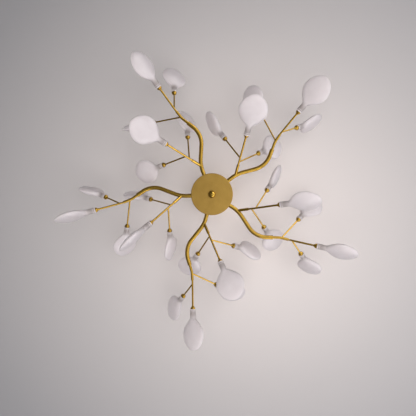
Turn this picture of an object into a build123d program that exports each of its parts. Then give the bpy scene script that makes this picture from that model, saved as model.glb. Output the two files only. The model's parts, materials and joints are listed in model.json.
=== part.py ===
from build123d import *
import math
import os

# Branch chandelier: a hub on a short rod under a ceiling canopy, five forking arms, thirty turning leaf shades.
# Millimetres and degrees, +Z up. The origin is the middle of the ceiling plane that the bracket's feet and the
# canopy's rim lie against. Arm a leaves the hub along +X and the others follow counter-clockwise.
# Inside an arm's own frame +X runs outward from the hub's axis, +Y sideways and +Z up.

# Driving dimensions
drop = 250.0
arm_count = 5
slip_fit = 0.1
turn_fit = 0.4
seat_gap = 0.35

# Ceiling bracket, with its two slots for the screws of the ceiling box
bracket_length = 104.0
bracket_width = 22.0
bracket_sheet = 2.0
bracket_drop = 8.0
bracket_foot = 26.0
bracket_corner = 4.0
slot_inset = 10.0
slot_length = 14.0
slot_width = 5.0

# Canopy and the slip collar under it
canopy_diameter = 120.0
canopy_height = 28.0
canopy_wall = 1.2
canopy_edge = 3.0
collar_diameter = 24.0
collar_height = 8.0
collar_edge = 1.5
collar_screw = 3.0

# Down rod and its threads
rod_diameter = 12.0
rod_bore = 7.0
thread_diameter = 10.0
thread_hole_gap = 0.2
rod_thread_clear = 2.5
rod_thread_low = 9.5
nut_flats = 15.0
nut_height = 5.0

# Driver and terminal block inside the canopy
driver_length = 62.0
driver_width = 30.0
driver_height = 17.0
driver_edge = 2.0
driver_gap = 4.0
terminal_length = 30.0
terminal_width = 16.0
terminal_height = 14.0
terminal_ways = 3
terminal_pitch = 9.0
terminal_hole = 4.0
terminal_screw = 5.0
terminal_gap = 4.0

# Hub drum, its bottom cover and the stud that holds the cover and the ball
hub_diameter = 120.0
hub_height = 30.0
hub_wall = 1.5
hub_edge = 3.0
cover_sheet = 2.0
cover_edge = 1.2
cover_lip = 4.0
cover_lip_wall = 1.2
arm_rise = 16.0
coupler_flats = 17.0
coupler_length = 18.0
coupler_bore_depth = 14.0
wire_hole = 5.0
stud_diameter = 6.0
stud_hole_gap = 0.2
ball_diameter = 21.0
ball_seat = 8.5
ball_bore_depth = 11.0

# Arm tube: straight run, first bend, second bend and end, all measured from the hub's wall
arm_diameter = 12.0
arm_bore = 8.0
arm_thread_length = 12.0
arm_nut_flats = 15.0
arm_nut_height = 4.0
arm_nut_gap = 0.8
first_bend_out = 30.0
second_bend_out = 112.0
second_bend_side = 38.0
arm_end_out = 156.0
arm_end_side = 12.0
first_bend_radius = 90.0
second_bend_radius = 62.0

# Spur at the arm's end
spur_diameter = 8.0
spur_bore = 5.0
spur_reach = 22.0
spur_tail = 24.0
spur_turn_deg = -18.0
spur_lift_deg = -7.0
spur_bend_radius = 50.0
joint_depth = 8.0

# Rods and twigs: turn in plan from the arm's direction, lift above level, length to the cup's rim
stem_diameter = 5.4
stem_bore = 3.2
twig_diameter = 4.4
twig_bore = 2.6
tip_start = 4.0
tip_turn_deg = -15.0
tip_lift_deg = -19.5
tip_length = 77.0
tip_bend_radius = 25.0
left_start = 26.0
left_turn_deg = -73.0
left_lift_deg = 26.0
left_length = 93.0
right_start = 6.5
right_turn_deg = 20.0
right_lift_deg = 33.5
right_length = 67.0

# Side branch, its stub, rod and two twigs
side_start = 27.0
side_turn_deg = -39.1
side_lift_deg = -33.0
side_length = 131.0
stub_length = 36.0
side_left_start = 59.0
side_left_turn_deg = -84.5
side_left_lift_deg = 34.0
side_left_length = 85.0
side_right_start = 46.0
side_right_turn_deg = 16.5
side_right_lift_deg = 38.0
side_right_length = 89.0

# How each arm sits in its hole, and how its tip is bent in plan, arm a first
arm_roll_deg = [-6.0, 0.0, 0.0, 2.0, 4.0]
tip_swing_deg = [-4.0, -1.0, 3.0, -1.0, 2.0]

# Flared cup, lamp holder and bulb
cup_diameter = 13.6
cup_length = 9.0
cup_band = 2.5
cup_lip = 0.8
cup_recess = 3.5
holder_base = 10.0
holder_diameter = 11.6
holder_length = 11.0
bulb_diameter = 9.4
bulb_base = 8.6
bulb_base_length = 7.0
bulb_length = 27.0

# Leaf shade: round neck, then an oval that swells and closes at the tip
neck_wall = 1.8
neck_length = 24.0
leaf_length = 87.0
leaf_width = 74.0
leaf_thickness = 21.0
leaf_wall = 1.6
leaf_base_power = 0.9
leaf_tip_power = 0.55
leaf_stations = [0.0, 0.04, 0.09, 0.16, 0.26, 0.38, 0.52, 0.66, 0.78, 0.88, 0.94]
leaf_cap_stations = [0.975, 0.993, 0.999]

# Turn of each shade about its stem from a level leaf, arm a first
shade_turns_deg = {
    "tip": [55.0, 40.0, -75.0, 45.0, -20.0],
    "left": [-30.0, 20.0, -40.0, 70.0, -40.0],
    "right": [50.0, 50.0, 80.0, 30.0, 65.0],
    "side_tip": [45.0, 0.0, -85.0, 0.0, 0.0],
    "side_left": [65.0, -60.0, -70.0, -15.0, -70.0],
    "side_right": [-5.0, -5.0, 75.0, 45.0, 5.0],
}

# Heights and radii that follow
hub_radius = hub_diameter / 2
hub_bottom = -drop
hub_top = hub_bottom + hub_height
arm_level = hub_bottom + arm_rise
thread_hole = thread_diameter / 2 + thread_hole_gap
web_top = -bracket_drop
web_bottom = web_top - bracket_sheet
canopy_floor = -canopy_height + canopy_wall
slot_spacing = bracket_length - 2 * slot_inset
driver_offset = bracket_width / 2 + driver_gap + driver_width / 2
terminal_offset = bracket_width / 2 + terminal_gap + terminal_width / 2
neck_bore = holder_diameter / 2 + turn_fit
neck_radius = neck_bore + neck_wall

os.makedirs("parts", exist_ok=True)


def keep(piece, name):
    """Name a finished piece and write it."""
    piece.label = name
    export_step(piece, f"parts/{name}.step")


def heading(turn, lift):
    """Unit direction in an arm's frame from its turn in plan and its lift."""
    turn = math.radians(turn)
    lift = math.radians(lift)
    return Vector(math.cos(lift) * math.cos(turn), math.cos(lift) * math.sin(turn), math.sin(lift))


def side_of(plane):
    """Plane through another plane's own axis, for turned profiles: radius along x, axis along y."""
    return Plane(origin=plane.origin, x_dir=plane.x_dir, z_dir=-plane.y_dir)


def straight_tube(start, end, diameter, bore, cope=None, drills=()):
    """Straight tube, cut to fit the tube it leaves, with a lead hole for each twig that leaves it."""
    with BuildPart() as tube:
        with BuildSketch(Plane(origin=start, z_dir=end - start)):
            Circle(diameter / 2)
            if bore:
                Circle(bore / 2, mode=Mode.SUBTRACT)
        extrude(amount=(end - start).length)
        if cope:
            add(cope, mode=Mode.SUBTRACT)
        for origin, direction, hole in drills:
            with BuildSketch(Plane(origin=origin, z_dir=direction)):
                Circle(hole / 2)
            extrude(amount=diameter, mode=Mode.SUBTRACT)
    return tube.part


def bent_tube(points, radii, diameter, bore, drills=()):
    """Tube along straight runs and bends, with a lead hole for each twig that leaves it."""
    with BuildPart() as tube:
        with BuildLine() as route:
            FilletPolyline(*points, radius=radii)
        with BuildSketch(Plane(origin=points[0], z_dir=points[1] - points[0])):
            Circle(diameter / 2)
            if bore:
                Circle(bore / 2, mode=Mode.SUBTRACT)
        sweep(path=route.wire())
        for origin, direction, hole in drills:
            with BuildSketch(Plane(origin=origin, z_dir=direction)):
                Circle(hole / 2)
            extrude(amount=diameter, mode=Mode.SUBTRACT)
    return tube.part


def route_of(points, radii):
    """Centre line of a bent tube."""
    with BuildLine() as route:
        FilletPolyline(*points, radius=radii)
    return route.wire()


# Ceiling bracket: a strap whose middle hangs below its two feet
foot_start = bracket_length / 2 - bracket_foot
web_end = foot_start - bracket_drop
bend_shift = bracket_sheet * math.tan(math.radians(22.5))
with BuildPart() as ceiling_bracket:
    with BuildSketch(Plane.XZ):
        with BuildLine():
            Polyline(
                (0, web_top),
                (web_end, web_top),
                (foot_start, 0),
                (bracket_length / 2, 0),
                (bracket_length / 2, -bracket_sheet),
                (foot_start + bend_shift, -bracket_sheet),
                (web_end + bend_shift, web_bottom),
                (0, web_bottom),
            )
            mirror(about=Plane.YZ)
        make_face()
    extrude(amount=bracket_width / 2, both=True)
    ends = ceiling_bracket.edges().filter_by(Axis.Z).group_by(Axis.X)
    fillet(ends[0] + ends[-1], bracket_corner)
    with BuildSketch(Plane.XY):
        with GridLocations(slot_spacing, 0, 2, 1):
            SlotOverall(slot_length, slot_width)
        Circle(thread_hole)
    extrude(amount=web_bottom, mode=Mode.SUBTRACT)
keep(ceiling_bracket.part, "ceiling_bracket")

# Canopy: a spun cup, open towards the ceiling
with BuildPart() as canopy:
    with BuildSketch(Plane.XY.offset(-canopy_height)):
        Circle(canopy_diameter / 2)
    extrude(amount=canopy_height)
    fillet(canopy.edges().group_by(Axis.Z)[0], canopy_edge)
    offset(amount=-canopy_wall, openings=canopy.faces().sort_by(Axis.Z)[-1])
    with BuildSketch(Plane.XY.offset(-canopy_height)):
        Circle(thread_hole)
    extrude(amount=canopy_wall, mode=Mode.SUBTRACT)
keep(canopy.part, "canopy")

# Collar that slides on the rod and holds the canopy up, with its set screw's hole
with BuildPart() as canopy_collar:
    with BuildSketch(Plane.XY.offset(-canopy_height - collar_height)):
        Circle(collar_diameter / 2)
    extrude(amount=collar_height)
    fillet(canopy_collar.edges().group_by(Axis.Z)[0], collar_edge)
    with BuildSketch(Plane.XY.offset(-canopy_height)):
        Circle(rod_diameter / 2 + slip_fit)
    extrude(amount=-collar_height, mode=Mode.SUBTRACT)
    with BuildSketch(Plane.YZ.shift_origin((0, 0, -canopy_height - collar_height / 2))):
        Circle(collar_screw / 2)
    extrude(amount=collar_diameter, mode=Mode.SUBTRACT)
keep(canopy_collar.part, "canopy_collar")

# Down rod: shoulders against the canopy and the hub, threaded ends through both
with BuildPart() as down_rod:
    with BuildSketch(Plane.XY.offset(hub_top)):
        Circle(rod_diameter / 2)
    extrude(amount=-canopy_height - hub_top)
    with BuildSketch(Plane.XY.offset(-canopy_height)):
        Circle(thread_diameter / 2)
    extrude(amount=canopy_height - rod_thread_clear)
    with BuildSketch(Plane.XY.offset(hub_top)):
        Circle(thread_diameter / 2)
    extrude(amount=-rod_thread_low)
    with BuildSketch(Plane.XY):
        Circle(rod_bore / 2)
    extrude(amount=hub_top - rod_thread_low, mode=Mode.SUBTRACT)
keep(down_rod.part, "down_rod")

# Nuts that clamp the bracket's middle on the rod
with BuildPart() as rod_lock_nuts:
    with BuildSketch(Plane.XY.offset(web_top), Plane.XY.offset(web_bottom - nut_height)):
        RegularPolygon(nut_flats / 2, 6, major_radius=False)
        Circle(thread_diameter / 2, mode=Mode.SUBTRACT)
    extrude(amount=nut_height)
keep(rod_lock_nuts.part, "rod_lock_nuts")

# Driver on the canopy's floor
with BuildPart() as led_driver:
    with BuildSketch(Plane.XY.offset(canopy_floor)):
        with Locations((0, driver_offset)):
            RectangleRounded(driver_length, driver_width, driver_edge)
    extrude(amount=driver_height)
    fillet(led_driver.edges().group_by(Axis.Z)[-1], driver_edge / 2)
keep(led_driver.part, "led_driver")

# Terminal block on the canopy's floor: a way through and a screw well for each lead
with BuildPart() as terminal_block:
    with BuildSketch(Plane.XY.offset(canopy_floor)):
        with Locations((0, -terminal_offset)):
            RectangleRounded(terminal_length, terminal_width, driver_edge)
    extrude(amount=terminal_height)
    with BuildSketch(Plane.XZ.offset(terminal_offset - terminal_width / 2)):
        with Locations((0, canopy_floor + terminal_height / 2)):
            with GridLocations(terminal_pitch, 0, terminal_ways, 1):
                Circle(terminal_hole / 2)
    extrude(amount=terminal_width, mode=Mode.SUBTRACT)
    with BuildSketch(Plane.XY.offset(canopy_floor + terminal_height)):
        with Locations((0, -terminal_offset)):
            with GridLocations(terminal_pitch, 0, terminal_ways, 1):
                Circle(terminal_screw / 2)
    extrude(amount=-terminal_height / 2, mode=Mode.SUBTRACT)
keep(terminal_block.part, "terminal_block")

# Frames of the arms: each leaves the hub along +X of its own frame
arm_frames = []
for number in range(arm_count):
    place = Location((0, 0, arm_level), (0, 0, number * 360 / arm_count))
    arm_frames.append(Plane(place * Location((0, 0, 0), (arm_roll_deg[number], 0, 0))))

# Hub body: a drum closed on top, with a hole for the rod and one for each arm
drum_bottom = hub_bottom + cover_sheet
with BuildPart() as hub_body:
    with BuildSketch(Plane.XY.offset(drum_bottom)):
        Circle(hub_radius)
    extrude(amount=hub_top - drum_bottom)
    fillet(hub_body.edges().group_by(Axis.Z)[-1], hub_edge)
    offset(amount=-hub_wall, openings=hub_body.faces().sort_by(Axis.Z)[0])
    with BuildSketch(Plane.XY.offset(hub_top)):
        Circle(thread_hole)
    extrude(amount=-hub_wall, mode=Mode.SUBTRACT)
    for frame in arm_frames:
        with BuildSketch(Plane(origin=frame.origin, z_dir=frame.x_dir)):
            Circle(thread_hole)
        extrude(amount=hub_diameter, mode=Mode.SUBTRACT)
keep(hub_body.part, "hub_body")

# Hub cover: the disc seen from below, with a lip that centres it in the drum
lip_radius = hub_radius - hub_wall - slip_fit
with BuildPart() as hub_cover:
    with BuildSketch(Plane.XY.offset(hub_bottom)):
        Circle(hub_radius)
    extrude(amount=cover_sheet)
    fillet(hub_cover.edges().group_by(Axis.Z)[0], cover_edge)
    with BuildSketch(Plane.XY.offset(drum_bottom)):
        Circle(lip_radius)
        Circle(lip_radius - cover_lip_wall, mode=Mode.SUBTRACT)
    extrude(amount=cover_lip)
    with BuildSketch(Plane.XY.offset(hub_bottom)):
        Circle(stud_diameter / 2 + stud_hole_gap)
    extrude(amount=cover_sheet, mode=Mode.SUBTRACT)
keep(hub_cover.part, "hub_cover")

# Centre stud: hex coupler on the rod's lower thread, a cross hole for the leads, and the stud for the ball
coupler_top = hub_top - hub_wall
stud_end = hub_bottom - ball_bore_depth + slip_fit
with BuildPart() as centre_stud:
    with BuildSketch(Plane.XY.offset(coupler_top)):
        RegularPolygon(coupler_flats / 2, 6, major_radius=False)
    extrude(amount=-coupler_length)
    with BuildSketch(Plane.XY.offset(coupler_top)):
        Circle(thread_diameter / 2)
    extrude(amount=-coupler_bore_depth, mode=Mode.SUBTRACT)
    with BuildSketch(Plane.XZ.shift_origin((0, 0, coupler_top - coupler_bore_depth + wire_hole / 2))):
        Circle(wire_hole / 2)
    extrude(amount=coupler_flats, both=True, mode=Mode.SUBTRACT)
    with BuildSketch(Plane.XY.offset(coupler_top - coupler_length)):
        Circle(stud_diameter / 2)
    extrude(amount=stud_end - coupler_top + coupler_length)
keep(centre_stud.part, "centre_stud")

# Ball that clamps the cover
with BuildPart() as finial_ball:
    with BuildSketch(side_of(Plane.XY.offset(hub_bottom))):
        with Locations((0, -ball_seat)):
            Circle(ball_diameter / 2)
        with Locations((0, -ball_diameter)):
            Rectangle(ball_diameter, 2 * ball_diameter, align=(Align.MIN, Align.CENTER), mode=Mode.INTERSECT)
    revolve(axis=Axis.Z)
    with BuildSketch(Plane.XY.offset(hub_bottom)):
        Circle(stud_diameter / 2)
    extrude(amount=-ball_bore_depth, mode=Mode.SUBTRACT)
keep(finial_ball.part, "finial_ball")

# Nuts on the arms' threads inside the hub
nut_face = hub_radius - hub_wall - arm_nut_gap
with BuildPart() as arm_lock_nuts:
    with BuildSketch(*[Plane(origin=f.origin + f.x_dir * nut_face, x_dir=f.y_dir, z_dir=-f.x_dir) for f in arm_frames]):
        RegularPolygon(arm_nut_flats / 2, 6, major_radius=False)
        Circle(thread_diameter / 2, mode=Mode.SUBTRACT)
    extrude(amount=arm_nut_height)
keep(arm_lock_nuts.part, "arm_lock_nuts")

# Arms: tube, outer branch and side branch of each, and the plane of every cup's rim
tips = []
for number, frame in enumerate(arm_frames):
    arm_name = "abcde"[number]
    swing = tip_swing_deg[number]

    def at(out, side, up=0.0):
        """Point of this arm from its distance out from the hub's wall."""
        return frame.from_local_coords(Vector(hub_radius + out, side, up))

    def aim(turn, lift):
        """Direction of this arm's frame, in the world."""
        return frame.from_local_coords(heading(turn, lift)) - frame.origin

    # Arm tube
    arm_points = [at(0, 0), at(first_bend_out, 0), at(second_bend_out, second_bend_side), at(arm_end_out, arm_end_side)]
    arm_radii = [first_bend_radius, second_bend_radius]
    arm_route = route_of(arm_points, arm_radii)
    arm_end = arm_points[-1]
    arm_aim = (arm_points[3] - arm_points[2]).normalized()
    side_root = arm_route.position_at(side_start, position_mode=PositionMode.LENGTH)
    side_aim = aim(side_turn_deg, side_lift_deg)
    arm_solid = bent_tube(arm_points, arm_radii, arm_diameter, 0)
    with BuildPart() as arm_tube:
        add(bent_tube(arm_points, arm_radii, arm_diameter, arm_bore, [(side_root, side_aim, spur_bore)]))
        with BuildSketch(Plane(origin=arm_points[0], z_dir=-frame.x_dir)):
            Circle(thread_diameter / 2)
            Circle(arm_bore / 2, mode=Mode.SUBTRACT)
        extrude(amount=arm_thread_length)
    keep(arm_tube.part, f"arm_tube_{arm_name}")

    # Outer branch: spur, tip rod and two twigs
    spur_aim = aim(spur_turn_deg, spur_lift_deg)
    tip_aim = aim(tip_turn_deg + swing, tip_lift_deg)
    left_aim = aim(left_turn_deg, left_lift_deg)
    right_aim = aim(right_turn_deg + swing, right_lift_deg)
    spur_corner = arm_end + arm_aim * spur_reach
    spur_end = spur_corner + spur_aim * spur_tail
    spur_points = [arm_end - arm_aim * joint_depth, spur_corner, spur_end]
    spur_route = route_of(spur_points, spur_bend_radius)
    left_root = spur_route.position_at(joint_depth + left_start, position_mode=PositionMode.LENGTH)
    tip_corner = spur_end + spur_aim * tip_start
    tip_rim = tip_corner + tip_aim * tip_length
    tip_points = [spur_end - spur_aim * joint_depth, tip_corner, tip_rim - tip_aim * cup_recess]
    right_root = tip_corner + tip_aim * right_start
    left_rim = left_root + left_aim * left_length
    right_rim = right_root + right_aim * right_length
    spur_solid = bent_tube(spur_points, spur_bend_radius, spur_diameter, 0)
    tip_solid = bent_tube(tip_points, tip_bend_radius, stem_diameter, 0)
    outer_branch = Compound(
        children=[
            bent_tube(spur_points, spur_bend_radius, spur_diameter, spur_bore, [(left_root, left_aim, twig_bore)]),
            bent_tube(tip_points, tip_bend_radius, stem_diameter, stem_bore, [(right_root, right_aim, twig_bore)]),
            straight_tube(left_root, left_rim - left_aim * cup_recess, twig_diameter, twig_bore, spur_solid),
            straight_tube(right_root, right_rim - right_aim * cup_recess, twig_diameter, twig_bore, tip_solid),
        ]
    )
    keep(outer_branch, f"outer_branch_{arm_name}")

    # Side branch: stub, rod and two twigs
    side_left_aim = aim(side_left_turn_deg, side_left_lift_deg)
    side_right_aim = aim(side_right_turn_deg, side_right_lift_deg)
    stub_end = side_root + side_aim * stub_length
    side_rim = side_root + side_aim * side_length
    side_left_root = side_root + side_aim * side_left_start
    side_right_root = side_root + side_aim * side_right_start
    side_left_rim = side_left_root + side_left_aim * side_left_length
    side_right_rim = side_right_root + side_right_aim * side_right_length
    stem_start = stub_end - side_aim * joint_depth
    stem_end = side_rim - side_aim * cup_recess
    stem_solid = straight_tube(stem_start, stem_end, stem_diameter, 0)
    stem_drills = [(side_left_root, side_left_aim, twig_bore), (side_right_root, side_right_aim, twig_bore)]
    side_left_end = side_left_rim - side_left_aim * cup_recess
    side_right_end = side_right_rim - side_right_aim * cup_recess
    side_branch = Compound(
        children=[
            straight_tube(side_root, stub_end, spur_diameter, spur_bore, arm_solid),
            straight_tube(stem_start, stem_end, stem_diameter, stem_bore, None, stem_drills),
            straight_tube(side_left_root, side_left_end, twig_diameter, twig_bore, stem_solid),
            straight_tube(side_right_root, side_right_end, twig_diameter, twig_bore, stem_solid),
        ]
    )
    keep(side_branch, f"side_branch_{arm_name}")

    # Planes of the cups' rims, with x along the width of the shade
    ends = {
        "tip": (tip_rim, tip_aim, stem_diameter),
        "left": (left_rim, left_aim, twig_diameter),
        "right": (right_rim, right_aim, twig_diameter),
        "side_tip": (side_rim, side_aim, stem_diameter),
        "side_left": (side_left_rim, side_left_aim, twig_diameter),
        "side_right": (side_right_rim, side_right_aim, twig_diameter),
    }
    for end_name, (rim, stem_aim, stem_size) in ends.items():
        level = Vector(0, 0, 1).cross(stem_aim).normalized()
        level_plane = Plane(origin=rim, x_dir=level, z_dir=stem_aim)
        plane = Plane(level_plane.location * Location((0, 0, 0), (0, 0, shade_turns_deg[end_name][number])))
        tips.append((f"shade_{arm_name}_{end_name}", plane, stem_size))


def flared_cup(stem_size):
    """Bell on a stem's end: a bore for the stem, a flare and a recess for the lamp holder."""
    neck = stem_size / 2 + cup_lip
    with BuildPart() as cup:
        with BuildSketch(side_of(Plane.XY)):
            with BuildLine():
                Line((stem_size / 2, -cup_length), (neck, -cup_length))
                Bezier(
                    (neck, -cup_length),
                    (neck, -cup_length / 2 - cup_band / 2),
                    (cup_diameter / 2, -cup_length / 2 - cup_band / 2),
                    (cup_diameter / 2, -cup_band),
                )
                Polyline(
                    (cup_diameter / 2, -cup_band),
                    (cup_diameter / 2, 0),
                    (holder_base / 2, 0),
                    (holder_base / 2, -cup_recess),
                    (stem_size / 2, -cup_recess),
                    (stem_size / 2, -cup_length),
                )
            make_face()
        revolve(axis=Axis.Z)
    return cup.part


# Socket cups on all stems
stem_cup = flared_cup(stem_diameter)
twig_cup = flared_cup(twig_diameter)
with BuildPart() as socket_cups:
    with Locations(*[plane.location for name, plane, size in tips if size == stem_diameter]):
        add(stem_cup)
    with Locations(*[plane.location for name, plane, size in tips if size == twig_diameter]):
        add(twig_cup)
keep(socket_cups.part, "socket_cups")

# Lamp holders: a base in the cup's recess and a threaded body that the shade's neck screws over
with BuildPart() as holder:
    with BuildSketch(Plane.XY.offset(-cup_recess)):
        Circle(holder_base / 2)
    extrude(amount=cup_recess)
    with BuildSketch(Plane.XY):
        Circle(holder_diameter / 2)
    extrude(amount=holder_length)
with BuildPart() as lamp_holders:
    with Locations(*[plane.location for name, plane, size in tips]):
        add(holder.part)
keep(lamp_holders.part, "lamp_holders")

# Bulbs: a base on the holder's face and a domed capsule
with BuildPart() as bulb:
    with BuildSketch(Plane.XY.offset(holder_length)):
        Circle(bulb_base / 2)
    extrude(amount=bulb_base_length)
    with BuildSketch(Plane.XY.offset(holder_length + bulb_base_length)):
        Circle(bulb_diameter / 2)
    extrude(amount=bulb_length - bulb_base_length)
    fillet(bulb.edges().group_by(Axis.Z)[-1], bulb_diameter / 2 - slip_fit)
with BuildPart() as led_bulbs:
    with Locations(*[plane.location for name, plane, size in tips]):
        add(bulb.part)
keep(led_bulbs.part, "led_bulbs")


def leaf_share(along):
    """Share of the full width at a place along the leaf, from 0 at the neck to 1 at the tip."""
    power = leaf_base_power if along < 0.5 else leaf_tip_power
    return (4 * along * (1 - along)) ** power


def leaf_oval(along, inset):
    """Half width and half thickness of the leaf there, less the inset."""
    neck = neck_radius * (1 - along)
    half_width = math.hypot(neck, leaf_width / 2 * leaf_share(along))
    half_thickness = math.hypot(neck, leaf_thickness / 2 * leaf_share(along))
    return half_width - inset, half_thickness - inset


# Leaf shade, built once: hollow oval leaf on a round neck that turns on the lamp holder
with BuildPart() as leaf:
    with BuildSketch(Plane.XY.offset(seat_gap)):
        Circle(neck_radius)
    extrude(amount=neck_length - seat_gap)
    for along in leaf_stations + leaf_cap_stations:
        with BuildSketch(Plane.XY.offset(neck_length + along * leaf_length)):
            Ellipse(*leaf_oval(along, 0))
    loft()
    with BuildSketch(Plane.XY.offset(seat_gap)):
        Circle(neck_bore)
    extrude(amount=neck_length - seat_gap, mode=Mode.SUBTRACT)
    for along in leaf_stations:
        with BuildSketch(Plane.XY.offset(neck_length + along * leaf_length)):
            Ellipse(*leaf_oval(along, leaf_wall))
    loft(ruled=True, mode=Mode.SUBTRACT)

# Shades, each turned about its own stem
for name, plane, size in tips:
    with BuildPart() as shade:
        with Locations(plane.location):
            add(leaf.part)
    keep(shade.part, name)
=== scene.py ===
"""Looks of the branch chandelier: finishes on its CAD pieces, small trim, a plain stage, lights and camera.

Metres, +Z up, in the frame of the CAD model: the ceiling plane is z = 0 and arm a leaves the hub along +X.
"""
import json
import math

import bpy
from mathutils import Matrix, Vector


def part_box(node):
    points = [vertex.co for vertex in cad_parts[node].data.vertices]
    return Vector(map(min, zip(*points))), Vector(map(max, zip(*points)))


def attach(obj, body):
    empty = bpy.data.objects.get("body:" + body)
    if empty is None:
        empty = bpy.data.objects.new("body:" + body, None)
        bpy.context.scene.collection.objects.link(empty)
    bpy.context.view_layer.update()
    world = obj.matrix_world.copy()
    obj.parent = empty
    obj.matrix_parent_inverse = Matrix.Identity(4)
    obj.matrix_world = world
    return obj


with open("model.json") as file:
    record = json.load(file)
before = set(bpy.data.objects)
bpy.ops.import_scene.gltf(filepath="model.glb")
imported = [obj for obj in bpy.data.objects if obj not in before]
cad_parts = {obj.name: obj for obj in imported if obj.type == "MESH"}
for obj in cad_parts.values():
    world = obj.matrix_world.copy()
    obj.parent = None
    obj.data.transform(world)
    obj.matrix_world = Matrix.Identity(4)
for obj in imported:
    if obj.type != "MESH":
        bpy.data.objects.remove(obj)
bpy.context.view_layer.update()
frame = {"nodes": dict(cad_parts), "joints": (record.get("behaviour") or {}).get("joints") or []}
nodes = frame["nodes"]
scene = bpy.context.scene
scene.view_settings.view_transform = "Standard"
MM = 0.001

# The photo's right lies 32.2 degrees clockwise of arm a seen from above
photo_turn = math.radians(32.2)
photo_frame = Matrix.Rotation(-photo_turn, 3, "Z")

# Painted light on the ceiling: the middle of its painted pool of light, right of and below the hub in the
# camera's view, and how far its painted falloff reaches
painted_light_middle = (0.15, 0.075, 0.0)
painted_falloff_reach = 1.3

# Shade: past the cup's rim the neck's painted shade, a grey for the dark holder inside and the neck's shaded
# side, fades to the blade's white between these two places, mm
painted_shade_end = 12.0
painted_shade_fade_end = 34.0
# Share of the light that goes through the shade's wall
light_through = 0.28

# Rings of trim: steps round a ring, and the rounded edge of its section, mm
ring_steps = 40
ring_edge = 0.25
ring_edge_steps = 3

# Rolled lip of the cups, mm
lip_rings = {"lip": {"radius": 6.6, "place": -0.6, "width": 1.1, "thickness": 0.8}}
# Mouth band and screw bead of the shade necks, mm
neck_rings = {
    "band": {"radius": 8.25, "place": 2.2, "width": 3.2, "thickness": 0.9},
    "bead": {"radius": 8.15, "place": 7.4, "width": 1.4, "thickness": 0.7},
}

# Thumb screw of the canopy's collar, heights from the collar's side, mm
shank_radius = 1.4
shank_depth = 4.5
shoulder_radius = 2.6
shoulder_bottom = 0.3
shoulder_top = 1.6
knob_radius = 4.2
knob_bottom = 1.9
knob_top = 6.1
knob_edge = 0.3
knob_bevel = 0.4
flute_depth = 0.3
dome_radius = 2.4
dome_rise = 0.4
dome_top_radius = 0.8
dome_top_rise = 0.6
screw_steps = 36

# Stage
ceiling_size = 8.0
ceiling_gap = 0.4 * MM
outlet_radius = 0.055
outlet_steps = 48
floor_size = 12.0
floor_height = -2.4

# Camera, with the photo's focal length and width in pixels
tilt_x = math.radians(2.25)
tilt_y = math.radians(0.64)
camera_height = -1.25
sensor_width = 36.0
focal_px = 350
photo_px = 416

# Windows face a point under the ceiling; each one's shiny light hangs a little nearer than its matt light
window_target = (0.0, 0.0, -0.6)
window_height = 2.0
gleam_share = 0.97


def linear(code):
    """Linear colour of an sRGB hex value."""
    parts = [int(code[i : i + 2], 16) / 255 for i in (1, 3, 5)]
    return [c / 12.92 if c <= 0.04045 else ((c + 0.055) / 1.055) ** 2.4 for c in parts] + [1.0]


def per_width(width):
    """Texture scale of a pattern this wide, in mm."""
    return 1 / (width * MM)


def put(tree, kind, sockets=None, **settings):
    """Add a node with its settings; a socket takes a value or another node's output."""
    made = tree.nodes.new(kind)
    for name, value in settings.items():
        setattr(made, name, value)
    for name, value in (sockets or {}).items():
        if isinstance(value, bpy.types.NodeSocket):
            tree.links.new(value, made.inputs[name])
        else:
            made.inputs[name].default_value = value
    return made


def new_finish(name):
    """Empty material with its output node."""
    material = bpy.data.materials.new(name)
    material.use_nodes = True
    material.node_tree.nodes.clear()
    return material, material.node_tree, material.node_tree.nodes.new("ShaderNodeOutputMaterial")


def ramp(made, *stops):
    """Set the stops of a colour ramp: place and hex colour."""
    elements = made.color_ramp.elements
    while len(elements) < len(stops):
        elements.new(0.5)
    for element, (place, code) in zip(elements, stops):
        element.position = place
        element.color = linear(code)


# Finishes


def drawn_brass():
    """Drawn brass tube, brushed and lacquered: warm metal, gritty highlights, faint cloudy toning."""
    material, tree, out = new_finish("satin_drawn_brass")
    place = put(tree, "ShaderNodeTexCoord")
    # Toning of the lacquered brass drifts over about 30 mm
    cloud = put(
        tree,
        "ShaderNodeTexNoise",
        {"Vector": place.outputs["Object"], "Scale": per_width(30.0), "Detail": 3.0},
    )
    tone = put(tree, "ShaderNodeValToRGB", {"Fac": cloud.outputs["Fac"]})
    ramp(tone, (0.3, "#A8883B"), (0.7, "#B99842"))
    # Brushing grit is 0.2 mm; drawn at 1 mm so that it shows
    grit = put(
        tree,
        "ShaderNodeTexNoise",
        {"Vector": place.outputs["Object"], "Scale": per_width(1.0), "Detail": 2.0},
    )
    rough = put(tree, "ShaderNodeMapRange", {"Value": grit.outputs["Fac"], "To Min": 0.17, "To Max": 0.27})
    bump = put(
        tree,
        "ShaderNodeBump",
        {"Height": grit.outputs["Fac"], "Strength": 0.06, "Distance": 0.2 * MM},
    )
    metal = put(
        tree,
        "ShaderNodeBsdfPrincipled",
        {
            "Base Color": tone.outputs["Color"],
            "Metallic": 1.0,
            "Roughness": rough.outputs["Result"],
            "Normal": bump.outputs["Normal"],
        },
    )
    tree.links.new(metal.outputs["BSDF"], out.inputs["Surface"])
    return material


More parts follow.
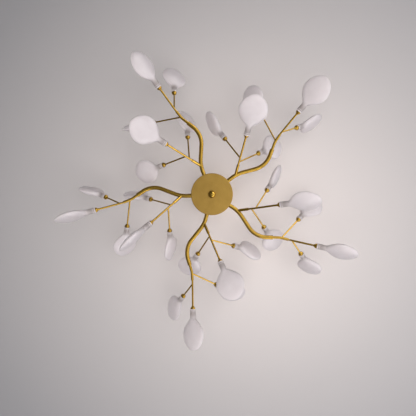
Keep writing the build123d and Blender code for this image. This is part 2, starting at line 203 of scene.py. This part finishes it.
def spun_brass():
    """Spun and brushed brass sheet: fine turning rings round the hub's axis, duller than the tubes."""
    material, tree, out = new_finish("satin_spun_brass")
    place = put(tree, "ShaderNodeTexCoord")
    flat = put(
        tree,
        "ShaderNodeVectorMath",
        {0: place.outputs["Object"], 1: (1.0, 1.0, 0.0)},
        operation="MULTIPLY",
    )
    radius = put(tree, "ShaderNodeVectorMath", {0: flat.outputs["Vector"]}, operation="LENGTH")
    # Turning marks are 0.3 mm apart; drawn about 2 mm apart so that they show
    turn = put(
        tree,
        "ShaderNodeTexNoise",
        {"W": radius.outputs["Value"], "Scale": per_width(2.0), "Detail": 3.0},
        noise_dimensions="1D",
    )
    # Toning of the lacquered sheet drifts over about 25 mm
    cloud = put(
        tree,
        "ShaderNodeTexNoise",
        {"Vector": place.outputs["Object"], "Scale": per_width(25.0), "Detail": 4.0},
    )
    both = put(
        tree,
        "ShaderNodeMix",
        {"Factor": 0.35, "A": cloud.outputs["Fac"], "B": turn.outputs["Fac"]},
    )
    tone = put(tree, "ShaderNodeValToRGB", {"Fac": both.outputs["Result"]})
    ramp(tone, (0.3, "#A28343"), (0.7, "#B2924C"))
    rough = put(tree, "ShaderNodeMapRange", {"Value": turn.outputs["Fac"], "To Min": 0.32, "To Max": 0.42})
    bump = put(
        tree,
        "ShaderNodeBump",
        {"Height": turn.outputs["Fac"], "Strength": 0.05, "Distance": 0.3 * MM},
    )
    metal = put(
        tree,
        "ShaderNodeBsdfPrincipled",
        {
            "Base Color": tone.outputs["Color"],
            "Metallic": 1.0,
            "Roughness": rough.outputs["Result"],
            "Normal": bump.outputs["Normal"],
        },
    )
    tree.links.new(metal.outputs["BSDF"], out.inputs["Surface"])
    return material


def opal_acrylic(lamp, root, aim):
    """Satin opal acrylic, blow-moulded: soft white, with painted shade greying the neck for the holder
    inside and its shaded side.
    """
    material, tree, out = new_finish("satin_opal_acrylic_" + lamp)
    place = put(tree, "ShaderNodeTexCoord")
    # Wall thickness of a blown shade drifts over about 22 mm
    wall = put(
        tree,
        "ShaderNodeTexNoise",
        {"Vector": place.outputs["Object"], "Scale": per_width(22.0), "Detail": 2.0},
    )
    blade = put(tree, "ShaderNodeValToRGB", {"Fac": wall.outputs["Fac"]})
    ramp(blade, (0.3, "#F2ECEE"), (0.7, "#F7F2F4"))
    along = put(tree, "ShaderNodeVectorMath", {0: place.outputs["Object"], 1: aim}, operation="DOT_PRODUCT")
    rim = aim.dot(root)
    neck = put(
        tree,
        "ShaderNodeMapRange",
        {
            "Value": along.outputs["Value"],
            "From Min": rim + painted_shade_end * MM,
            "From Max": rim + painted_shade_fade_end * MM,
        },
        interpolation_type="SMOOTHSTEP",
    )
    # Painted shade: the neck is mixed towards grey #BFB6B4 near the cup, fading to the blade's white
    tone = put(
        tree,
        "ShaderNodeMix",
        {"Factor": neck.outputs["Result"], "A": linear("#BFB6B4"), "B": blade.outputs["Color"]},
        data_type="RGBA",
    )
    rough = put(tree, "ShaderNodeMapRange", {"Value": wall.outputs["Fac"], "To Min": 0.26, "To Max": 0.34})
    bump = put(
        tree,
        "ShaderNodeBump",
        {"Height": wall.outputs["Fac"], "Strength": 0.05, "Distance": 1.0 * MM},
    )
    skin = put(
        tree,
        "ShaderNodeBsdfPrincipled",
        {
            "Base Color": tone.outputs["Result"],
            "Roughness": rough.outputs["Result"],
            "IOR": 1.49,
            "Sheen Weight": 0.3,
            "Sheen Roughness": 0.4,
            "Normal": bump.outputs["Normal"],
        },
    )
    glow = put(tree, "ShaderNodeBsdfTranslucent", {"Color": tone.outputs["Result"]})
    both = put(
        tree,
        "ShaderNodeMixShader",
        {"Fac": light_through, 1: skin.outputs["BSDF"], 2: glow.outputs["BSDF"]},
    )
    tree.links.new(both.outputs["Shader"], out.inputs["Surface"])
    return material


def zinc_steel():
    """Zinc-plated steel: cool metal with a faint crystal spangle about 4 mm wide."""
    material, tree, out = new_finish("zinc_plated_steel")
    place = put(tree, "ShaderNodeTexCoord")
    spangle = put(
        tree,
        "ShaderNodeTexVoronoi",
        {"Vector": place.outputs["Object"], "Scale": per_width(4.0)},
    )
    tone = put(tree, "ShaderNodeValToRGB", {"Fac": spangle.outputs["Distance"]})
    ramp(tone, (0.1, "#B4B8BD"), (0.7, "#CDD0D3"))
    rough = put(
        tree,
        "ShaderNodeMapRange",
        {"Value": spangle.outputs["Distance"], "To Min": 0.3, "To Max": 0.45},
    )
    metal = put(
        tree,
        "ShaderNodeBsdfPrincipled",
        {"Base Color": tone.outputs["Color"], "Metallic": 1.0, "Roughness": rough.outputs["Result"]},
    )
    tree.links.new(metal.outputs["BSDF"], out.inputs["Surface"])
    return material


def moulded_plastic(name, dark, light, grain, low, high):
    """Moulded plastic, ceramic or floor: even colour, its sheen broken by a grain this many mm wide."""
    material, tree, out = new_finish(name)
    place = put(tree, "ShaderNodeTexCoord")
    speck = put(
        tree,
        "ShaderNodeTexNoise",
        {"Vector": place.outputs["Object"], "Scale": per_width(grain), "Detail": 3.0},
    )
    tone = put(tree, "ShaderNodeValToRGB", {"Fac": speck.outputs["Fac"]})
    ramp(tone, (0.3, dark), (0.7, light))
    rough = put(tree, "ShaderNodeMapRange", {"Value": speck.outputs["Fac"], "To Min": low, "To Max": high})
    bump = put(
        tree,
        "ShaderNodeBump",
        {"Height": speck.outputs["Fac"], "Strength": 0.08, "Distance": 0.2 * MM},
    )
    skin = put(
        tree,
        "ShaderNodeBsdfPrincipled",
        {
            "Base Color": tone.outputs["Color"],
            "Roughness": rough.outputs["Result"],
            "IOR": 1.5,
            "Normal": bump.outputs["Normal"],
        },
    )
    tree.links.new(skin.outputs["BSDF"], out.inputs["Surface"])
    return material


def ceiling_paint_and_painted_light():
    """Matt ceiling paint with painted light: a warm painted pool of light round the fixture, with painted
    falloff to grey away from it; clear seen from above.
    """
    material, tree, out = new_finish("matt_ceiling_paint")
    place = put(tree, "ShaderNodeTexCoord")
    middle = photo_frame @ Vector(painted_light_middle)
    moved = put(tree, "ShaderNodeMapping", {"Vector": place.outputs["Object"], "Location": -middle})
    away = put(tree, "ShaderNodeVectorMath", {0: moved.outputs["Vector"]}, operation="LENGTH")
    share = put(tree, "ShaderNodeMapRange", {"Value": away.outputs["Value"], "From Max": painted_falloff_reach})
    tone = put(tree, "ShaderNodeValToRGB", {"Fac": share.outputs["Result"]})
    # Painted light: warm lit white near the middle, greying outward, standing in for the lamps' falloff on
    # the ceiling
    ramp(tone, (0.08, "#F2EBE8"), (0.5, "#C9C6C6"), (0.85, "#A7A7AA"), (1.0, "#9D9DA0"))
    # Roller stipple is a little over 3 mm wide
    roller = put(
        tree,
        "ShaderNodeTexNoise",
        {"Vector": place.outputs["Object"], "Scale": per_width(3.3), "Detail": 3.0},
    )
    bump = put(
        tree,
        "ShaderNodeBump",
        {"Height": roller.outputs["Fac"], "Strength": 0.05, "Distance": 1.0 * MM},
    )
    paint = put(
        tree,
        "ShaderNodeBsdfPrincipled",
        {"Base Color": tone.outputs["Color"], "Roughness": 0.9, "Normal": bump.outputs["Normal"]},
    )
    clear = put(tree, "ShaderNodeBsdfTransparent")
    side = put(tree, "ShaderNodeNewGeometry")
    either = put(
        tree,
        "ShaderNodeMixShader",
        {"Fac": side.outputs["Backfacing"], 1: paint.outputs["BSDF"], 2: clear.outputs["BSDF"]},
    )
    tree.links.new(either.outputs["Shader"], out.inputs["Surface"])
    return material


tube_brass = drawn_brass()
sheet_brass = spun_brass()
steel = zinc_steel()
# Grain widths in mm, then the range of roughness
driver_plastic = moulded_plastic("white_abs_case", "#DEDDD8", "#E8E7E3", 1.1, 0.45, 0.6)
terminal_nylon = moulded_plastic("natural_nylon_block", "#E6E0CF", "#F0EBDD", 2.5, 0.35, 0.45)
holder_ceramic = moulded_plastic("steatite_ceramic_holder", "#CFCABE", "#DDD8CC", 0.8, 0.55, 0.7)
bulb_silicone = moulded_plastic("frosted_silicone_bulb", "#EFE2B8", "#F6EED2", 5.0, 0.4, 0.5)
band_acrylic = moulded_plastic("satin_acrylic_band", "#D6D0D1", "#DDD7D8", 22.0, 0.34, 0.44)
floor_screed = moulded_plastic("pale_floor", "#D6D3CF", "#DCD9D5", 33.0, 0.7, 0.8)

# Pieces not named here are brass tube, and the shades are opal
finish_of = {
    "ceiling_bracket": steel,
    "rod_lock_nuts": steel,
    "arm_lock_nuts": steel,
    "centre_stud": steel,
    "canopy": sheet_brass,
    "canopy_collar": sheet_brass,
    "hub_body": sheet_brass,
    "hub_cover": sheet_brass,
    "led_driver": driver_plastic,
    "terminal_block": terminal_nylon,
    "lamp_holders": holder_ceramic,
    "led_bulbs": bulb_silicone,
}
# Each lamp's stem: the middle of its cup's rim, and the way it points
stems = {}
for joint in frame["joints"]:
    lamp = joint["name"].removesuffix("_turn")
    stems[lamp] = (Vector(joint["pos_m"]), Vector(joint["axis"]).normalized())
opal = {lamp: opal_acrylic(lamp, root, aim) for lamp, (root, aim) in stems.items()}
for name, piece in nodes.items():
    if name.startswith("shade_"):
        finish = opal[name.removeprefix("shade_")]
    else:
        finish = finish_of.get(name, tube_brass)
    piece.data.materials.clear()
    piece.data.materials.append(finish)

# Trim


def ring_tree(name, rings, material):
    """Geometry Nodes for rings round each stem, each with a radius, a place, a width and a thickness."""
    tree = bpy.data.node_groups.new(name, "GeometryNodeTree")
    tree.interface.new_socket("Geometry", in_out="INPUT", socket_type="NodeSocketGeometry")
    tree.interface.new_socket("Geometry", in_out="OUTPUT", socket_type="NodeSocketGeometry")
    sizes = {}
    for ring in rings:
        for size in rings[ring]:
            key = ring + " " + size
            socket = tree.interface.new_socket(key, in_out="INPUT", socket_type="NodeSocketFloat")
            sizes[key] = socket.identifier
    source = put(tree, "NodeGroupInput")
    aim = put(tree, "GeometryNodeInputNamedAttribute", {"Name": "aim"}, data_type="FLOAT_VECTOR")
    turn = put(tree, "FunctionNodeAlignRotationToVector", {"Vector": aim.outputs["Attribute"]}, axis="Z")
    points = put(tree, "GeometryNodeMeshToPoints", {"Mesh": source.outputs["Geometry"]})
    whole = put(tree, "GeometryNodeJoinGeometry")
    for ring in rings:
        line = put(
            tree,
            "GeometryNodeCurvePrimitiveCircle",
            {"Resolution": ring_steps, "Radius": source.outputs[ring + " radius"]},
        )
        section = put(
            tree,
            "GeometryNodeCurvePrimitiveQuadrilateral",
            {"Width": source.outputs[ring + " thickness"], "Height": source.outputs[ring + " width"]},
        )
        soft = put(
            tree,
            "GeometryNodeFilletCurve",
            {"Curve": section.outputs["Curve"], "Radius": ring_edge * MM, "Count": ring_edge_steps},
            mode="POLY",
        )
        band = put(
            tree,
            "GeometryNodeCurveToMesh",
            {"Curve": line.outputs["Curve"], "Profile Curve": soft.outputs["Curve"]},
        )
        rise = put(tree, "ShaderNodeCombineXYZ", {"Z": source.outputs[ring + " place"]})
        set_up = put(
            tree,
            "GeometryNodeTransform",
            {"Geometry": band.outputs["Mesh"], "Translation": rise.outputs["Vector"]},
        )
        tree.links.new(set_up.outputs["Geometry"], whole.inputs["Geometry"])
    copies = put(
        tree,
        "GeometryNodeInstanceOnPoints",
        {
            "Points": points.outputs["Points"],
            "Instance": whole.outputs["Geometry"],
            "Rotation": turn.outputs["Rotation"],
        },
    )
    real = put(tree, "GeometryNodeRealizeInstances", {"Geometry": copies.outputs["Instances"]})
    smooth = put(tree, "GeometryNodeSetShadeSmooth", {"Geometry": real.outputs["Geometry"]})
    coated = put(
        tree,
        "GeometryNodeSetMaterial",
        {"Geometry": smooth.outputs["Geometry"], "Material": material},
    )
    put(tree, "NodeGroupOutput", {"Geometry": coated.outputs["Geometry"]})
    return tree, sizes


def ring_piece(name, ends, rings, material, body):
    """Plain mesh of the rings round the given stems, riding on a body."""
    mesh = bpy.data.meshes.new(name)
    mesh.from_pydata([root for root, aim in ends], [], [])
    aims = mesh.attributes.new("aim", "FLOAT_VECTOR", "POINT")
    for spot, (root, aim) in zip(aims.data, ends):
        spot.vector = aim
    piece = bpy.data.objects.new(name, mesh)
    scene.collection.objects.link(piece)
    tree, sizes = ring_tree(name + "_nodes", rings, material)
    maker = piece.modifiers.new("rings", "NODES")
    maker.node_group = tree
    for ring in rings:
        for size, value in rings[ring].items():
            maker[sizes[ring + " " + size]] = value * MM
    graph = bpy.context.evaluated_depsgraph_get()
    plain = bpy.data.meshes.new_from_object(piece.evaluated_get(graph))
    piece.modifiers.remove(maker)
    piece.data = plain
    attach(piece, body)


def turned_piece(name, outline, place, aim, material, body):
    """Solid of revolution with a fluted edge: radius, height and flute depth in mm, turned about a line."""
    turn = aim.to_track_quat("Z", "Y").to_matrix()
    points = []
    for radius, height, flute in outline:
        for step in range(screw_steps):
            angle = 2 * math.pi * step / screw_steps
            reach = radius - flute * (step % 2)
            spot = Vector((reach * math.cos(angle), reach * math.sin(angle), height)) * MM
            points.append(place + turn @ spot)
    faces = [tuple(range(screw_steps))[::-1]]
    for row in range(len(outline) - 1):
        for step in range(screw_steps):
            near = row * screw_steps + step
            far = row * screw_steps + (step + 1) % screw_steps
            faces.append((near, far, far + screw_steps, near + screw_steps))
    faces.append(tuple(range(len(points) - screw_steps, len(points))))
    mesh = bpy.data.meshes.new(name)
    mesh.from_pydata(points, [], faces)
    mesh.materials.append(material)
    piece = bpy.data.objects.new(name, mesh)
    scene.collection.objects.link(piece)
    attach(piece, body)


ring_piece("cup_lips", list(stems.values()), lip_rings, tube_brass, "fixture")
for lamp, stem in stems.items():
    ring_piece("neck_band_" + lamp, [stem], neck_rings, band_acrylic, "shade_" + lamp)

# Thumb screw in the side hole of the canopy's collar: shank, shoulder, fluted knob and domed end
thumb_screw = [
    (shank_radius, -shank_depth, 0.0),
    (shank_radius, shoulder_bottom, 0.0),
    (shoulder_radius, shoulder_bottom, 0.0),
    (shoulder_radius, shoulder_top, 0.0),
    (knob_radius - knob_edge, knob_bottom, 0.0),
    (knob_radius, knob_bottom + knob_bevel, flute_depth),
    (knob_radius, knob_top - knob_bevel, flute_depth),
    (knob_radius - knob_edge, knob_top, 0.0),
    (dome_radius, knob_top + dome_rise, 0.0),
    (dome_top_radius, knob_top + dome_top_rise, 0.0),
]
collar_low, collar_high = (Vector(corner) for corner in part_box("canopy_collar"))
collar_middle = (collar_low + collar_high) / 2
hole_aim = Vector((1.0, 0.0, 0.0))
hole_mouth = collar_middle + hole_aim * (collar_high.x - collar_low.x) / 2
turned_piece("collar_thumb_screw", thumb_screw, hole_mouth, hole_aim, tube_brass, "fixture")

# Stage


def stage_sheet(name, points, faces, material):
    """Flat sheet of the stage."""
    mesh = bpy.data.meshes.new(name)
    mesh.from_pydata(points, [], faces)
    mesh.materials.append(material)
    sheet = bpy.data.objects.new(name, mesh)
    scene.collection.objects.link(sheet)


def ceiling_sheet(name, size, height, hole, material):
    """Square ceiling of the stage, facing down, with a round outlet hole over the canopy."""
    points = []
    for step in range(outlet_steps):
        angle = 2 * math.pi * step / outlet_steps
        across, along = math.cos(angle), math.sin(angle)
        reach = size / 2 / max(abs(across), abs(along))
        points.append((hole * across, hole * along, height))
        points.append((reach * across, reach * along, height))
    faces = []
    for step in range(outlet_steps):
        near = 2 * step
        far = 2 * ((step + 1) % outlet_steps)
        faces.append((near, far, far + 1, near + 1))
    stage_sheet(name, points, faces, material)


def floor_sheet(name, size, height, material):
    """Square floor of the stage, facing up."""
    half = size / 2
    corners = [(-half, -half, height), (half, -half, height), (half, half, height), (-half, half, height)]
    stage_sheet(name, corners, [(0, 1, 2, 3)], material)


ceiling_sheet("ceiling", ceiling_size, ceiling_gap, outlet_radius, ceiling_paint_and_painted_light())
floor_sheet("floor", floor_size, floor_height, floor_screed)

# Camera under the hub, looking up
tilt = Matrix.Rotation(tilt_x, 3, "X") @ Matrix.Rotation(tilt_y, 3, "Y")
flip = Matrix(((1, 0, 0), (0, -1, 0), (0, 0, -1)))
camera_data = bpy.data.cameras.new("camera")
camera_data.sensor_width = sensor_width
camera_data.lens = sensor_width * focal_px / photo_px
camera = bpy.data.objects.new("camera", camera_data)
camera_turn = (photo_frame @ tilt.transposed() @ flip).to_4x4()
camera.matrix_world = Matrix.Translation((0, 0, camera_height)) @ camera_turn
scene.collection.objects.link(camera)
scene.camera = camera

# Lights


def soft_box(name, place, target, width, height, power, code):
    """Rectangular soft light at a place of the photo's own frame, facing a target there."""
    data = bpy.data.lights.new(name, "AREA")
    data.shape = "RECTANGLE"
    data.size = width
    data.size_y = height
    data.energy = power
    data.color = linear(code)[:3]
    light = bpy.data.objects.new(name, data)
    start = photo_frame @ Vector(place)
    toward = photo_frame @ Vector(target) - start
    light.matrix_world = Matrix.Translation(start) @ toward.to_track_quat("-Z", "Y").to_matrix().to_4x4()
    light.visible_camera = False
    scene.collection.objects.link(light)
    return light


# Daylight is cool, what the room gives back is warm
cool = "#EEF2FF"
warm = "#FFFAF8"
# Three soft windows on the photo's right, each one light for the matt surfaces and one for the shiny ones
for name, place, width, power, gleam in (
    ("window", (3.2, 0.95, -1.2), 5.0, 19.0, 66.0),
    ("upper_window", (2.3, -2.5, -1.2), 3.2, 2.0, 72.0),
    ("lower_window", (1.15, 3.1, -1.2), 2.6, 8.0, 46.0),
):
    matt = soft_box(name, place, window_target, width, window_height, power, cool)
    matt.visible_glossy = False
    nearer = (gleam_share * place[0], gleam_share * place[1], place[2])
    shiny = soft_box(name + "_gleam", nearer, window_target, width, window_height, gleam, warm)
    shiny.visible_diffuse = False
# Light from the floor: a patch that the brass shows, and a fill that it doesn't
soft_box(
    "floor_patch",
    place=(1.2, 0.05, -2.3),
    target=(1.2, 0.05, 0.0),
    width=2.6,
    height=2.6,
    power=21.5,
    code=warm,
)
room_fill = soft_box(
    "room_fill",
    place=(0.34, 0.3, -2.35),
    target=(0.34, 0.3, 0.0),
    width=1.8,
    height=1.8,
    power=25.5,
    code=warm,
)
room_fill.visible_glossy = False
# Light through the outlet hole, for what hangs inside the canopy
soft_box(
    "above_ceiling",
    place=(0.0, 0.0, 1.6),
    target=(0.0, 0.0, 0.0),
    width=2.0,
    height=2.0,
    power=40.0,
    code=warm,
)
# Soft light off the left wall, for the shades' far sides
left_wall = soft_box(
    "left_wall",
    place=(-2.6, 0.6, -1.3),
    target=(0.0, 0.0, -0.4),
    width=3.6,
    height=2.2,
    power=19.0,
    code=warm,
)
left_wall.visible_glossy = False

world = bpy.data.worlds.new("room")
scene.world = world
world.use_nodes = True
world.node_tree.nodes.clear()
room_light = put(world.node_tree, "ShaderNodeBackground", {"Color": linear("#F2F4F8"), "Strength": 0.18})
put(world.node_tree, "ShaderNodeOutputWorld", {"Surface": room_light.outputs["Background"]})
